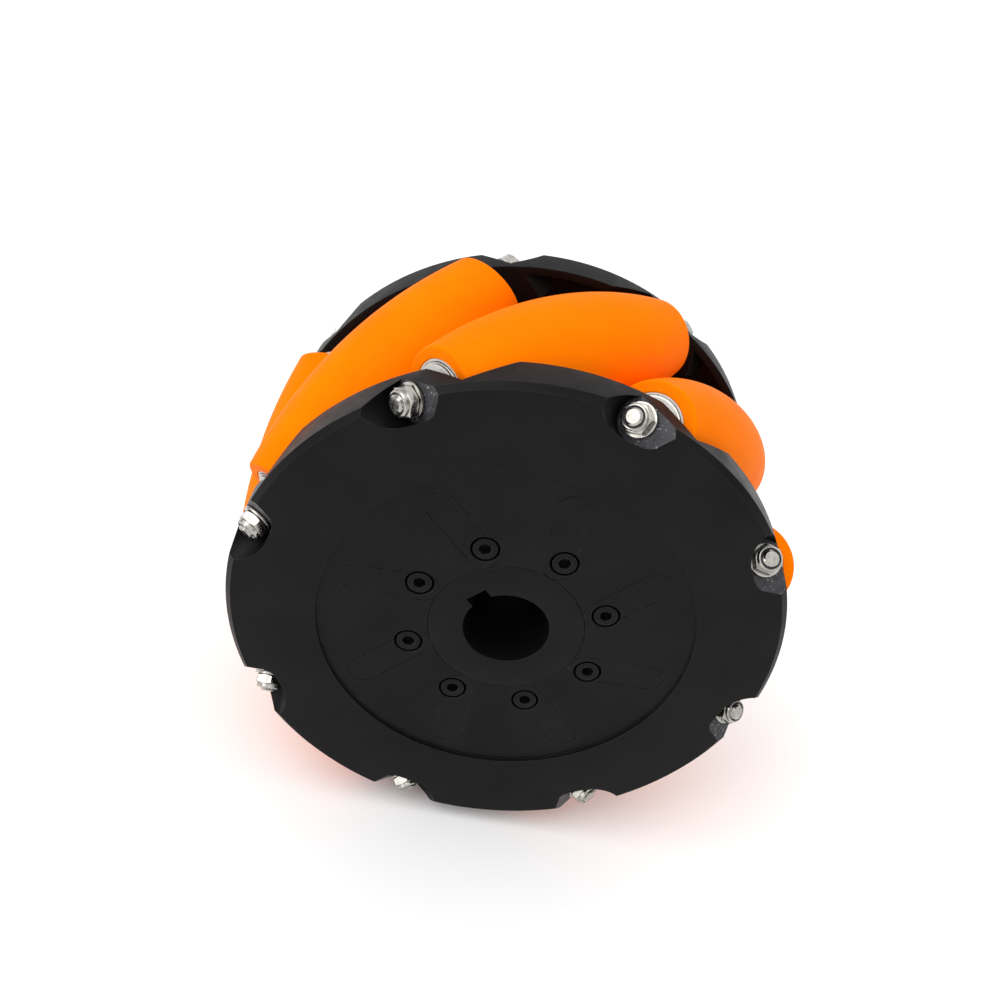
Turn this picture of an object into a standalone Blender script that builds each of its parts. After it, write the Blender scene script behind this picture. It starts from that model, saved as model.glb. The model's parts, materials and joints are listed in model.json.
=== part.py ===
"""Heavy-duty mecanum wheel: eight barrel rollers held at 45 degrees between two side plates on a keyed hub.

The wheel turns about the world Y axis and its centre is the origin. The outer side faces -Y. Angles go
clockwise from +Z, seen from the outer side. Each roller has its own frame, with its origin on the roller's
axis half way along it: X points out from the wheel's centre, Z runs along the roller's axis towards the
inner side, and Y is square to both.
"""

import math

import bmesh
import bpy
from mathutils import Matrix, Vector

# Wheel, in metres
ROLLER_COUNT = 8
ENVELOPE_RADIUS = 0.1016
AXLE_CIRCLE_RADIUS = 0.0786
SKEW = math.radians(45)

# Rollers
ROLLER_HALF_LENGTH = 0.0544
ROLLER_EDGE = 0.0012
ROLLER_BORE_RADIUS = 0.0052
BEARING_SEAT_RADIUS = 0.01
BEARING_SEAT_DEPTH = 0.0083
ROLLER_STATIONS = 7
ROLLER_SEGMENTS = 18

# Bearings, each with its thrust collar
BEARING_RADIUS = 0.0095
BEARING_BORE_RADIUS = 0.0034
BEARING_LENGTH = 0.0085
COLLAR_RADIUS = 0.0065
COLLAR_LENGTH = 0.0023
COLLAR_END = 0.0577
BEARING_SEGMENTS = 10

# Side plates
RIM_RADIUS = 0.0965
RIM_CHAMFER = 0.002
RIM_WALL = 0.003
FACE_Y = 0.053
RECESS_Y = 0.0516
RECESS_RADIUS = 0.0657
RIM_INNER_Y = 0.0381
WEB_INNER_Y = 0.045
HUB_PAD_Y = 0.043
HUB_PAD_RADIUS = 0.047
PLATE_BORE_RADIUS = 0.0274
PLATE_SEGMENTS = 48

# Ears of a side plate, given in the roller's frame
EAR_INNER = 0.058
EAR_BLOCK = (0.057, 0.075)
EAR_SIDE = (-0.0105, 0.0155)
EAR_HEIGHT = (-0.013, 0.025)
EAR_TOP_Y = 0.0384
EAR_RING_RADIUS = (0.06, 0.0955)
AXLE_HOLE_RADIUS = 0.0035

# Room that a plate leaves round a roller: a barrel, shifted and stretched outwards
ROLLER_CLEARANCE = 0.0015
CLEARANCE_SHIFT = 0.00215
CLEARANCE_STRETCH = 1.13
ROOM_START = 0.028
ROOM_STATIONS = 5
CLEARANCE_SEGMENTS = 16

# Nut pockets
POCKET_FLOOR = 0.0647
POCKET_RADIUS = 0.0074
POCKET_SHIFT = Vector((0.0025, 0.003))
POCKET_NEAR_WALL = 0.0068
POCKET_REACH = 0.03
POCKET_END = 0.1
POCKET_ARC_STEPS = (7, 4)

# Axle bolts and lock nuts
AXLE_RADIUS = 0.0029
STUD_END = 0.072
WASHER_RADIUS = 0.00575
WASHER_START = 0.065
WASHER_END = 0.066
NUT_ACROSS_FLATS = 0.0092
NUT_HEX_END = 0.0695
NUT_END = 0.0711
NUT_COLLAR_RADIUS = 0.0043
NUT_BORE_RADIUS = 0.0034
NUT_CORE_RADIUS = 0.0038
NUT_OVERLAP = 0.0005
HEAD_END = 0.0699

# Hub
HUB_BOSS_RADIUS = 0.027
BORE_RADIUS = 0.015
KEYWAY_WIDTH = 0.008
KEYWAY_FLOOR = 0.0183
KEYWAY_ANGLE = math.radians(-46)
HUB_FLANGE_RADIUS = 0.044
HUB_FLANGE_OUTER_Y = 0.0427
HUB_FLANGE_INNER_Y = 0.026
HUB_WAIST_RADIUS = 0.031
HUB_SEGMENTS = 32
BORE_SEGMENTS = 8
FASTENER_SEGMENTS = 10

# Hub screws, M5 socket heads
SCREW_COUNT = 8
SCREW_CIRCLE_RADIUS = 0.035
SCREW_PHASE = math.radians(21.8)
SCREW_HEAD_RADIUS = 0.00425
SCREW_HEAD_HEIGHT = 0.005
SCREW_HEAD_TOP_Y = 0.0515
SCREW_SHANK_RADIUS = 0.0025
SCREW_END_Y = 0.03
SCREW_HOLE_END_Y = 0.0285
SCREW_HOLE_RADIUS = 0.0031
COUNTERBORE_RADIUS = 0.005
COUNTERBORE_FLOOR_Y = 0.0462
SOCKET_ACROSS_FLATS = 0.004
SOCKET_DEPTH = 0.0028

# Merging distance for the modifiers, and the overrun of a cutter past the face that it opens
MERGE = 0.00001
OVERRUN = 0.002
SMOOTH_ANGLE = math.radians(35)
HALVINGS = 50

# A turned mesh has its axis along Z. This turns it about the wheel's own axis instead.
ONTO_WHEEL_AXIS = Matrix.Rotation(-math.pi / 2, 4, "X")
INNER_SIDE = Matrix.Rotation(math.pi, 4, "Z")


def clear_scene():
    for obj in list(bpy.data.objects):
        bpy.data.objects.remove(obj, do_unlink=True)


def new_collection(name):
    collection = bpy.data.collections.new(name)
    bpy.context.scene.collection.children.link(collection)
    return collection


def new_material(name, colour, roughness, metallic=0.0):
    made = bpy.data.materials.new(name)
    made.use_nodes = True
    shader = made.node_tree.nodes["Principled BSDF"]
    shader.inputs["Base Color"].default_value = (*colour, 1.0)
    shader.inputs["Roughness"].default_value = roughness
    shader.inputs["Metallic"].default_value = metallic
    return made


def evaluated_mesh(obj, name):
    """The object's mesh with its modifiers applied. The object itself is removed."""
    graph = bpy.context.evaluated_depsgraph_get()
    mesh = bpy.data.meshes.new_from_object(obj.evaluated_get(graph))
    mesh.name = name
    bpy.data.objects.remove(obj, do_unlink=True)
    return mesh


def turned_mesh(name, profile, segments, ring=False):
    """A profile of (radius, z) points, from top to bottom, turned about Z. A ring's closes on itself."""
    outline = bmesh.new()
    points = [outline.verts.new((radius, 0, z)) for radius, z in profile]
    for first, second in zip(points, points[1:]):
        outline.edges.new((first, second))
    if ring:
        outline.edges.new((points[-1], points[0]))
    mesh = bpy.data.meshes.new(name)
    outline.to_mesh(mesh)
    outline.free()
    obj = bpy.data.objects.new(name, mesh)
    bpy.context.scene.collection.objects.link(obj)
    screw = obj.modifiers.new("turn", "SCREW")
    screw.axis = "Z"
    screw.steps = segments
    screw.render_steps = segments
    screw.use_merge_vertices = True
    screw.merge_threshold = MERGE
    bpy.context.view_layer.update()
    return evaluated_mesh(obj, name)


def prism_mesh(name, outline, bottom, top):
    """A flat outline of (x, y) points, run along Z from bottom to top."""
    curve = bpy.data.curves.new(name, "CURVE")
    curve.dimensions = "2D"
    curve.fill_mode = "BOTH"
    curve.extrude = (top - bottom) / 2
    spline = curve.splines.new("POLY")
    spline.points.add(len(outline) - 1)
    for point, (x, y) in zip(spline.points, outline):
        point.co = (x, y, 0, 1)
    spline.use_cyclic_u = True
    obj = bpy.data.objects.new(name, curve)
    bpy.context.scene.collection.objects.link(obj)
    bpy.context.view_layer.update()
    mesh = evaluated_mesh(obj, name)
    mesh.transform(Matrix.Translation((0, 0, (top + bottom) / 2)))
    welded = bmesh.new()
    welded.from_mesh(mesh)
    bmesh.ops.remove_doubles(welded, verts=welded.verts, dist=MERGE)
    bmesh.ops.recalc_face_normals(welded, faces=welded.faces)
    welded.to_mesh(mesh)
    welded.free()
    return mesh


def block_mesh(name, low, high):
    """A box between two corners."""
    size = Vector(high) - Vector(low)
    centre = (Vector(high) + Vector(low)) / 2
    box = bmesh.new()
    bmesh.ops.create_cube(box, size=1, matrix=Matrix.Translation(centre) @ Matrix.Diagonal((*size, 1)))
    mesh = bpy.data.meshes.new(name)
    box.to_mesh(mesh)
    box.free()
    return mesh


def hexagon(across_flats):
    corner = across_flats / math.sqrt(3)
    return [(corner * math.cos(k * math.pi / 3), corner * math.sin(k * math.pi / 3)) for k in range(6)]


def arc(centre, radius, start, end, steps):
    """Points on an arc, both ends included. Angles are in degrees, counter-clockwise from +X."""
    angles = [math.radians(start + (end - start) * step / steps) for step in range(steps + 1)]
    return [(centre[0] + radius * math.cos(a), centre[1] + radius * math.sin(a)) for a in angles]


def joined_mesh(name, mesh, matrices):
    """One mesh that holds a copy of this one at each matrix."""
    joined = bmesh.new()
    for matrix in matrices:
        copy = mesh.copy()
        copy.transform(matrix)
        joined.from_mesh(copy)
        bpy.data.meshes.remove(copy)
    made = bpy.data.meshes.new(name)
    joined.to_mesh(made)
    joined.free()
    return made


def add_object(name, mesh, collection, matrix=None, material=None, smooth=False):
    obj = bpy.data.objects.new(name, mesh)
    collection.objects.link(obj)
    if matrix is not None:
        obj.matrix_world = matrix
    if material is not None and not mesh.materials:
        mesh.materials.append(material)
    if smooth:
        mesh.shade_smooth()
        mesh.set_sharp_from_angle(angle=SMOOTH_ANGLE)
    return obj


def add_cutter(name, mesh, collection, matrix=None):
    cutter = add_object(name, mesh, collection, matrix)
    cutter.hide_render = True
    cutter.display_type = "WIRE"
    return cutter


def combine(obj, other, operation):
    """Adds an exact Boolean: DIFFERENCE cuts, UNION joins, INTERSECT keeps what both hold."""
    modifier = obj.modifiers.new(f"{operation.lower()}_{other.name}", "BOOLEAN")
    modifier.operation = operation
    modifier.solver = "EXACT"
    modifier.object = other


def cut_copies(obj, mesh, frames, cutters):
    """Cuts a copy of the mesh from the object at each of the frames."""
    cutter = add_cutter(f"{mesh.name}_cutters", joined_mesh(f"{mesh.name}s", mesh, frames), cutters)
    combine(obj, cutter, "DIFFERENCE")


def wheel_angle(index, phase=0.0, count=ROLLER_COUNT):
    return phase + index * 2 * math.pi / count


def outward(angle):
    return Vector((math.sin(angle), 0, math.cos(angle)))


def roller_frame(index):
    """The frame of one roller, as the file's heading gives it."""
    angle = wheel_angle(index)
    x_axis = outward(angle)
    clockwise = Vector((math.cos(angle), 0, -math.sin(angle)))
    z_axis = clockwise * math.sin(SKEW) + Vector((0, math.cos(SKEW), 0))
    y_axis = z_axis.cross(x_axis)
    matrix = Matrix((x_axis, y_axis, z_axis)).transposed().to_4x4()
    matrix.translation = x_axis * AXLE_CIRCLE_RADIUS
    return matrix


def screw_frame(index):
    """On a hub screw's axis in the wheel's middle plane, with Z towards the outer side."""
    matrix = Matrix.Rotation(math.pi / 2, 4, "X")
    matrix.translation = outward(wheel_angle(index, SCREW_PHASE, SCREW_COUNT)) * SCREW_CIRCLE_RADIUS
    return matrix


def barrel_point(foot):
    """(radius, z) of the roller's surface, whose normal meets the roller's axis at z = foot.

    The surface touches the wheel's envelope cylinder where a line square to the wheel's axis meets both.
    """
    across = foot * math.sin(SKEW)
    from_wheel_axis = math.hypot(AXLE_CIRCLE_RADIUS, across)
    depth = ENVELOPE_RADIUS - from_wheel_axis
    lean = math.sin(SKEW) * across / from_wheel_axis
    return depth * math.sqrt(1 - lean * lean), foot + depth * lean


def barrel_foot(z):
    """The foot on the roller's axis of the surface point at height z, by halving."""
    low, high = 0.0, ENVELOPE_RADIUS
    for _ in range(HALVINGS):
        middle = (low + high) / 2
        if barrel_point(middle)[1] < abs(z):
            low = middle
        else:
            high = middle
    return math.copysign(low, z)


def barrel_profile(top, bottom, stations, extra=0.0):
    """(radius, z) points down the side of the roller, with some room added to the radius."""
    heights = [top + (bottom - top) * k / (stations - 1) for k in range(stations)]
    return [(barrel_point(barrel_foot(z))[0] + extra, z) for z in heights]


def roller_mesh():
    seat_z = ROLLER_HALF_LENGTH - BEARING_SEAT_DEPTH
    edge_z = ROLLER_HALF_LENGTH - ROLLER_EDGE
    outside = barrel_profile(edge_z, -edge_z, ROLLER_STATIONS)
    end_radius = outside[0][0] - ROLLER_EDGE
    inside = [
        (end_radius, -ROLLER_HALF_LENGTH),
        (BEARING_SEAT_RADIUS, -ROLLER_HALF_LENGTH),
        (BEARING_SEAT_RADIUS, -seat_z),
        (ROLLER_BORE_RADIUS, -seat_z),
        (ROLLER_BORE_RADIUS, seat_z),
        (BEARING_SEAT_RADIUS, seat_z),
        (BEARING_SEAT_RADIUS, ROLLER_HALF_LENGTH),
        (end_radius, ROLLER_HALF_LENGTH),
    ]
    return turned_mesh("roller", outside + inside, ROLLER_SEGMENTS, ring=True)


def bearing_mesh():
    """A bearing and its thrust collar at the roller's +Z end."""
    collar_start = COLLAR_END - COLLAR_LENGTH
    bearing_start = collar_start - BEARING_LENGTH
    profile = [
        (COLLAR_RADIUS, COLLAR_END),
        (COLLAR_RADIUS, collar_start),
        (BEARING_RADIUS, collar_start),
        (BEARING_RADIUS, bearing_start),
        (BEARING_BORE_RADIUS, bearing_start),
        (BEARING_BORE_RADIUS, COLLAR_END),
    ]
    return turned_mesh("bearing", profile, BEARING_SEGMENTS, ring=True)


def axle_bolt_mesh(scratch):
    """A bolt with its hex head and washer at the +Z end and its thread end at the -Z end."""
    shank = turned_mesh(
        "axle_bolt",
        [
            (0, WASHER_END),
            (WASHER_RADIUS, WASHER_END),
            (WASHER_RADIUS, WASHER_START),
            (AXLE_RADIUS, WASHER_START),
            (AXLE_RADIUS, -STUD_END),
            (0, -STUD_END),
        ],
        FASTENER_SEGMENTS,
    )
    head = prism_mesh("bolt_head", hexagon(NUT_ACROSS_FLATS), WASHER_END - NUT_OVERLAP, HEAD_END)
    bolt = add_object("axle_bolt_blank", shank, scratch)
    combine(bolt, add_cutter("bolt_head", head, scratch), "UNION")
    bpy.context.view_layer.update()
    return evaluated_mesh(bolt, "axle_bolt")


def lock_nut_mesh(scratch):
    """A lock nut and its washer, at the -Z end of the axle."""
    washer = turned_mesh(
        "lock_nut",
        [
            (WASHER_RADIUS, -WASHER_START),
            (WASHER_RADIUS, -WASHER_END),
            (NUT_COLLAR_RADIUS, -WASHER_END),
            (NUT_COLLAR_RADIUS, -NUT_END),
            (NUT_BORE_RADIUS, -NUT_END),
            (NUT_BORE_RADIUS, -WASHER_START),
        ],
        FASTENER_SEGMENTS,
        ring=True,
    )
    flats = prism_mesh("nut_hexagon", hexagon(NUT_ACROSS_FLATS), -NUT_HEX_END, -WASHER_END + NUT_OVERLAP)
    bore = turned_mesh(
        "nut_bore",
        [
            (0, -WASHER_START),
            (NUT_CORE_RADIUS, -WASHER_START),
            (NUT_CORE_RADIUS, -NUT_END),
            (0, -NUT_END),
        ],
        FASTENER_SEGMENTS,
    )
    blank = add_object("nut_blank", flats, scratch)
    combine(blank, add_cutter("nut_bore", bore, scratch), "DIFFERENCE")
    combine(blank, add_cutter("nut_washer", washer, scratch), "UNION")
    bpy.context.view_layer.update()
    return evaluated_mesh(blank, "lock_nut")


def hub_screw_mesh(scratch):
    """A socket head screw in its own frame, with the head up."""
    blank = turned_mesh(
        "hub_screw",
        [
            (0, SCREW_HEAD_TOP_Y),
            (SCREW_HEAD_RADIUS, SCREW_HEAD_TOP_Y),
            (SCREW_HEAD_RADIUS, SCREW_HEAD_TOP_Y - SCREW_HEAD_HEIGHT),
            (SCREW_SHANK_RADIUS, SCREW_HEAD_TOP_Y - SCREW_HEAD_HEIGHT),
            (SCREW_SHANK_RADIUS, SCREW_END_Y),
            (0, SCREW_END_Y),
        ],
        FASTENER_SEGMENTS,
    )
    screw = add_object("hub_screw_blank", blank, scratch)
    floor = SCREW_HEAD_TOP_Y - SOCKET_DEPTH
    socket = prism_mesh("screw_socket", hexagon(SOCKET_ACROSS_FLATS), floor, SCREW_HEAD_TOP_Y + OVERRUN)
    combine(screw, add_cutter("screw_socket", socket, scratch), "DIFFERENCE")
    bpy.context.view_layer.update()
    return evaluated_mesh(screw, "hub_screw")


def hub_blank_mesh():
    upper = [
        (BORE_RADIUS, RECESS_Y),
        (HUB_BOSS_RADIUS, RECESS_Y),
        (HUB_BOSS_RADIUS, HUB_FLANGE_OUTER_Y),
        (HUB_FLANGE_RADIUS, HUB_FLANGE_OUTER_Y),
        (HUB_FLANGE_RADIUS, HUB_FLANGE_INNER_Y),
        (HUB_WAIST_RADIUS, HUB_FLANGE_INNER_Y),
    ]
    lower = [(radius, -z) for radius, z in reversed(upper)]
    return turned_mesh("hub", upper + lower, HUB_SEGMENTS, ring=True)


def add_hub(parts, cutters, material):
    mesh = hub_blank_mesh()
    mesh.transform(ONTO_WHEEL_AXIS)
    hub = add_object("hub", mesh, parts, material=material, smooth=True)

    keyway = block_mesh(
        "keyway",
        (-KEYWAY_WIDTH / 2, -RECESS_Y - OVERRUN, BORE_RADIUS / 2),
        (KEYWAY_WIDTH / 2, RECESS_Y + OVERRUN, KEYWAY_FLOOR),
    )
    turn = Matrix.Rotation(KEYWAY_ANGLE, 4, "Y")
    combine(hub, add_cutter("keyway_cutter", keyway, cutters, turn), "DIFFERENCE")

    hole = turned_mesh(
        "screw_hole",
        [
            (0, HUB_FLANGE_OUTER_Y + OVERRUN),
            (SCREW_HOLE_RADIUS, HUB_FLANGE_OUTER_Y + OVERRUN),
            (SCREW_HOLE_RADIUS, SCREW_HOLE_END_Y),
            (0, SCREW_HOLE_END_Y),
        ],
        BORE_SEGMENTS,
    )
    outer = [screw_frame(k) for k in range(SCREW_COUNT)]
    inner = [INNER_SIDE @ frame for frame in outer]
    cut_copies(hub, hole, outer + inner, cutters)


def plate_blank_mesh():
    """The side plate as turned: a web with a recess on its outer face and a thin rim on its inner one."""
    profile = [
        (PLATE_BORE_RADIUS, -RECESS_Y),
        (PLATE_BORE_RADIUS, -HUB_PAD_Y),
        (HUB_PAD_RADIUS, -HUB_PAD_Y),
        (HUB_PAD_RADIUS, -WEB_INNER_Y),
        (RIM_RADIUS - RIM_WALL, -WEB_INNER_Y),
        (RIM_RADIUS - RIM_WALL, -RIM_INNER_Y),
        (RIM_RADIUS, -RIM_INNER_Y),
        (RIM_RADIUS, -FACE_Y + RIM_CHAMFER),
        (RIM_RADIUS - RIM_CHAMFER, -FACE_Y),
        (RECESS_RADIUS, -FACE_Y),
        (RECESS_RADIUS, -RECESS_Y),
    ]
    mesh = turned_mesh("side_plate", profile, PLATE_SEGMENTS, ring=True)
    mesh.transform(ONTO_WHEEL_AXIS)
    return mesh


def ears_object(cutters):
    """The eight solid ears that carry the axles, trimmed to lie between the web and the rim."""
    frames = [roller_frame(k) for k in range(ROLLER_COUNT)]
    block = block_mesh(
        "ear",
        (EAR_HEIGHT[0], EAR_SIDE[0], -EAR_BLOCK[1]),
        (EAR_HEIGHT[1], EAR_SIDE[1], -EAR_BLOCK[0]),
    )
    ears = add_cutter("ears", joined_mesh("ears", block, frames), cutters)
    inner, outer = EAR_RING_RADIUS
    web_middle = (WEB_INNER_Y + FACE_Y) / 2
    ring = turned_mesh(
        "ear_ring",
        [(outer, -EAR_TOP_Y), (outer, -web_middle), (inner, -web_middle), (inner, -EAR_TOP_Y)],
        PLATE_SEGMENTS,
        ring=True,
    )
    ring.transform(ONTO_WHEEL_AXIS)
    combine(ears, add_cutter("ear_ring", ring, cutters), "INTERSECT")
    return ears


def roller_room_mesh():
    """The end of the room that a plate leaves round a roller, with the ear's inner face at its end."""
    profile = barrel_profile(-ROOM_START, -EAR_INNER, ROOM_STATIONS, ROLLER_CLEARANCE)
    mesh = turned_mesh("roller_room", [(0, -ROOM_START), *profile, (0, -EAR_INNER)], CLEARANCE_SEGMENTS)
    stretch = Matrix.Diagonal((CLEARANCE_STRETCH, 1, 1, 1))
    mesh.transform(Matrix.Translation((CLEARANCE_SHIFT, 0, 0)) @ stretch)
    return mesh


def nut_pocket_mesh():
    """The pocket for a lock nut: round about the axle, drawn out sideways, and open at the rim."""
    lean = math.degrees(math.atan2(POCKET_SHIFT.y, POCKET_SHIFT.x))
    start = -math.degrees(math.asin(POCKET_NEAR_WALL / POCKET_RADIUS))
    # Runs down the near wall, round the axle, round the shifted centre and up the far wall.
    outline = [(POCKET_REACH, -POCKET_NEAR_WALL)]
    outline += arc((0, 0), POCKET_RADIUS, start, lean - 270, POCKET_ARC_STEPS[0])
    outline += arc(POCKET_SHIFT, POCKET_RADIUS, lean - 270, -270, POCKET_ARC_STEPS[1])
    outline += [(POCKET_REACH, POCKET_SHIFT.y + POCKET_RADIUS)]
    return prism_mesh("nut_pocket", outline, -POCKET_END, -POCKET_FLOOR)


def screw_bore_mesh():
    """A counterbored hole in the screw's frame."""
    return turned_mesh(
        "screw_bore",
        [
            (0, RECESS_Y + OVERRUN),
            (COUNTERBORE_RADIUS, RECESS_Y + OVERRUN),
            (COUNTERBORE_RADIUS, COUNTERBORE_FLOOR_Y),
            (SCREW_HOLE_RADIUS, COUNTERBORE_FLOOR_Y),
            (SCREW_HOLE_RADIUS, HUB_PAD_Y - OVERRUN),
            (0, HUB_PAD_Y - OVERRUN),
        ],
        BORE_SEGMENTS,
    )


def axle_hole_mesh():
    profile = [
        (0, -EAR_INNER + OVERRUN),
        (AXLE_HOLE_RADIUS, -EAR_INNER + OVERRUN),
        (AXLE_HOLE_RADIUS, -POCKET_FLOOR - OVERRUN),
        (0, -POCKET_FLOOR - OVERRUN),
    ]
    return turned_mesh("axle_hole", profile, BORE_SEGMENTS)


def side_plate_mesh(cutters):
    """The outer side plate. Turned half round about a roller's own radius, it is the inner one."""
    plate = add_object("side_plate_blank", plate_blank_mesh(), cutters)
    rollers = [roller_frame(k) for k in range(ROLLER_COUNT)]
    screws = [screw_frame(k) for k in range(SCREW_COUNT)]
    cut_copies(plate, screw_bore_mesh(), screws, cutters)
    combine(plate, ears_object(cutters), "UNION")
    cut_copies(plate, roller_room_mesh(), rollers, cutters)
    cut_copies(plate, nut_pocket_mesh(), rollers, cutters)
    cut_copies(plate, axle_hole_mesh(), rollers, cutters)
    bpy.context.view_layer.update()
    return evaluated_mesh(plate, "side_plate")


def main():
    clear_scene()
    parts = new_collection("mecanum_wheel")
    cutters = new_collection("cutters")

    anodised = new_material("black_anodised_aluminium", (0.012, 0.012, 0.013), 0.42, 0.6)
    rubber = new_material("orange_polyurethane", (1.0, 0.27, 0.0), 0.45)
    steel = new_material("bright_steel", (0.62, 0.61, 0.58), 0.28, 1.0)
    oxide = new_material("black_oxide_steel", (0.02, 0.02, 0.02), 0.38, 0.7)
    bush = new_material("white_nylon", (0.8, 0.79, 0.76), 0.5)

    plate = side_plate_mesh(cutters)
    add_object("outer_plate", plate, parts, material=anodised, smooth=True)
    add_object("inner_plate", plate, parts, INNER_SIDE)
    add_hub(parts, cutters, anodised)

    roller = roller_mesh()
    bearing = bearing_mesh()
    bolt = axle_bolt_mesh(cutters)
    nut = lock_nut_mesh(cutters)
    other_end = Matrix.Rotation(math.pi, 4, "X")
    for index in range(ROLLER_COUNT):
        frame = roller_frame(index)
        number = index + 1
        add_object(f"roller_{number}", roller, parts, frame, rubber, smooth=True)
        add_object(f"bearing_inner_{number}", bearing, parts, frame, bush, smooth=True)
        add_object(f"bearing_outer_{number}", bearing, parts, frame @ other_end)
        add_object(f"axle_bolt_{number}", bolt, parts, frame, steel, smooth=True)
        add_object(f"lock_nut_{number}", nut, parts, frame, steel, smooth=True)

    screw = hub_screw_mesh(cutters)
    for index in range(SCREW_COUNT):
        number = index + 1
        add_object(f"hub_screw_outer_{number}", screw, parts, screw_frame(index), oxide, smooth=True)
        add_object(f"hub_screw_inner_{number}", screw, parts, INNER_SIDE @ screw_frame(index))


main()
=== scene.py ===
"""Looks of a heavy-duty mecanum wheel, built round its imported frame.

The wheel turns about world Y and its centre is the origin. The outer side, with the lock nuts, faces -Y.
Angles go clockwise from +Z, seen from the outer side. Each roller has its own frame, with its origin on the
roller's axis half way along it: X points out from the wheel's centre, Z runs along the roller's axis towards
the inner side, and Y is square to both.
"""

import json
import math

import bmesh
import bpy
from mathutils import Matrix, Vector


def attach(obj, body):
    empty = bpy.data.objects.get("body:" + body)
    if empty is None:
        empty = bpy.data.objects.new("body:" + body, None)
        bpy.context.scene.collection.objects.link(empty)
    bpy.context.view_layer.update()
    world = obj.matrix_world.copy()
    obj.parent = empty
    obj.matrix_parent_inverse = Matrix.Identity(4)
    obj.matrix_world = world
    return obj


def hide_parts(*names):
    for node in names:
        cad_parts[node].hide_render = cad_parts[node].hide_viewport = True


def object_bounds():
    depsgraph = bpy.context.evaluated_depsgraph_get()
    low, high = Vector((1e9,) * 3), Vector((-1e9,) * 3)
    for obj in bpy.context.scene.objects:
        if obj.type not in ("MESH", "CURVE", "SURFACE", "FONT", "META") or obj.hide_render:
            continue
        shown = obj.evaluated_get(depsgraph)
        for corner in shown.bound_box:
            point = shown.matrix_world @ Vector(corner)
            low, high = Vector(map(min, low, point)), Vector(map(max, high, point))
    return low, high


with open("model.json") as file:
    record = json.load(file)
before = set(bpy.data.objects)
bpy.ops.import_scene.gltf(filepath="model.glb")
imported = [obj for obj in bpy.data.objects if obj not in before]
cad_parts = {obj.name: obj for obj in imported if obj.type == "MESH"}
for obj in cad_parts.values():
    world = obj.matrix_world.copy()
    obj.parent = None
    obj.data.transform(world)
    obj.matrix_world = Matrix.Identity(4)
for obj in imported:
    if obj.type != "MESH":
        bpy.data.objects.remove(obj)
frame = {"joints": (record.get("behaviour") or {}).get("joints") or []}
CAD_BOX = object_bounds()

FRAME_BODY = "wheel_frame"

# Material slots
ANODISED = "black_anodised_aluminium"
POLYURETHANE = "orange_polyurethane"
STEEL = "bright_steel"
OXIDE = "black_oxide_steel"
NYLON = "white_nylon"

# Camera
SENSOR_WIDTH = 36
CLIP_START = 0.01
CAMERA_PLACE = Vector((-0.0376, -0.3213, 0.2365))
CAMERA_TARGET = Vector((0.0067, 0.0, 0.0188))
CAMERA_ROLL = math.radians(15.75)
CAMERA_LENS = 37.14
CAMERA_SHIFT = (-0.0397, 0.0052)

# Studio. The sky is white at the horizon, dim above it and bright overhead: it has a strength for each height
# of a direction. A light is its name, place, (width, height) and power.
FLOOR_SIZE = 60.0
FLOOR_GAP = 0.0005
SKY_HEIGHTS = (0.15, 0.36, 0.6)
SKY_STRENGTHS = (1.0, 0.4, 1.3)
LIGHTS = [
    ("key", (-1.0, -0.6, 1.5), (1.4, 1.4), 12),
    ("left_strip", (-1.3, -0.9, 0.4), (0.3, 1.0), 3),
]

# Wheel, in metres
ENVELOPE_RADIUS = 0.1016
SKEW = math.radians(45)
ROLLERS = frame["joints"]
AXLE_CIRCLE_RADIUS = Vector(ROLLERS[0]["pos_m"]).length
OUTER_SIDE = -1
INNER_SIDE = 1

# Rollers
ROLLER_HALF_LENGTH = 0.0544
ROLLER_EDGE = 0.0013
ROLLER_BORE_RADIUS = 0.0052
CORE_RADIUS = 0.0108
CORE_SINK = 0.0002
BEARING_SEAT_RADIUS = 0.01
BEARING_SEAT_DEPTH = 0.0083
BARREL_STATIONS = 41
BARREL_SEGMENTS = 96

# Bearings and thrust collars
BEARING_RADIUS = 0.00995
BEARING_START = 0.0469
BEARING_END = 0.0547
INNER_RACE_RADIUS = 0.0052
OUTER_RACE_RADIUS = 0.0079
SHIELD_SINK = 0.0004
SHAFT_FIT_RADIUS = 0.00305
COLLAR_RADIUS = 0.0065
COLLAR_END = 0.0577
COLLAR_FLANGE_RADIUS = 0.0093
COLLAR_FLANGE = (0.0549, 0.0554)

# Side plates
RIM_RADIUS = 0.0965
RIM_CHAMFER = 0.002
RIM_WALL = 0.003
FACE_Y = 0.053
RECESS_Y = 0.0516
RECESS_RADIUS = 0.0657
RIM_INNER_Y = 0.0381
WEB_INNER_Y = 0.045
HUB_PAD_Y = 0.043
HUB_PAD_RADIUS = 0.047
PLATE_BORE_RADIUS = 0.0274
PLATE_SEGMENTS = 192
EDGE = 0.0003

# Ears of a side plate, given in the roller's frame
EAR_INNER = 0.058
EAR_BLOCK = (0.057, 0.075)
EAR_SIDE = (-0.0105, 0.0155)
EAR_HEIGHT = (-0.013, 0.025)
EAR_TOP_Y = 0.0384
EAR_RING_RADIUS = (0.06, 0.0955)
AXLE_HOLE_RADIUS = 0.0035

# Room that a plate leaves round a roller: a barrel, shifted and stretched outwards
ROLLER_CLEARANCE = 0.0012
CLEARANCE_SHIFT = 0.00215
CLEARANCE_STRETCH = 1.13
ROOM_START = 0.028
ROOM_STATIONS = 13
ROOM_SEGMENTS = 64

# Nut pockets
POCKET_FLOOR = 0.0647
POCKET_RADIUS = 0.0074
POCKET_SHIFT = Vector((0.0025, 0.003))
POCKET_NEAR_WALL = 0.0068
POCKET_REACH = 0.03
POCKET_END = 0.1
POCKET_ARC_STEPS = (28, 12)

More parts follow.
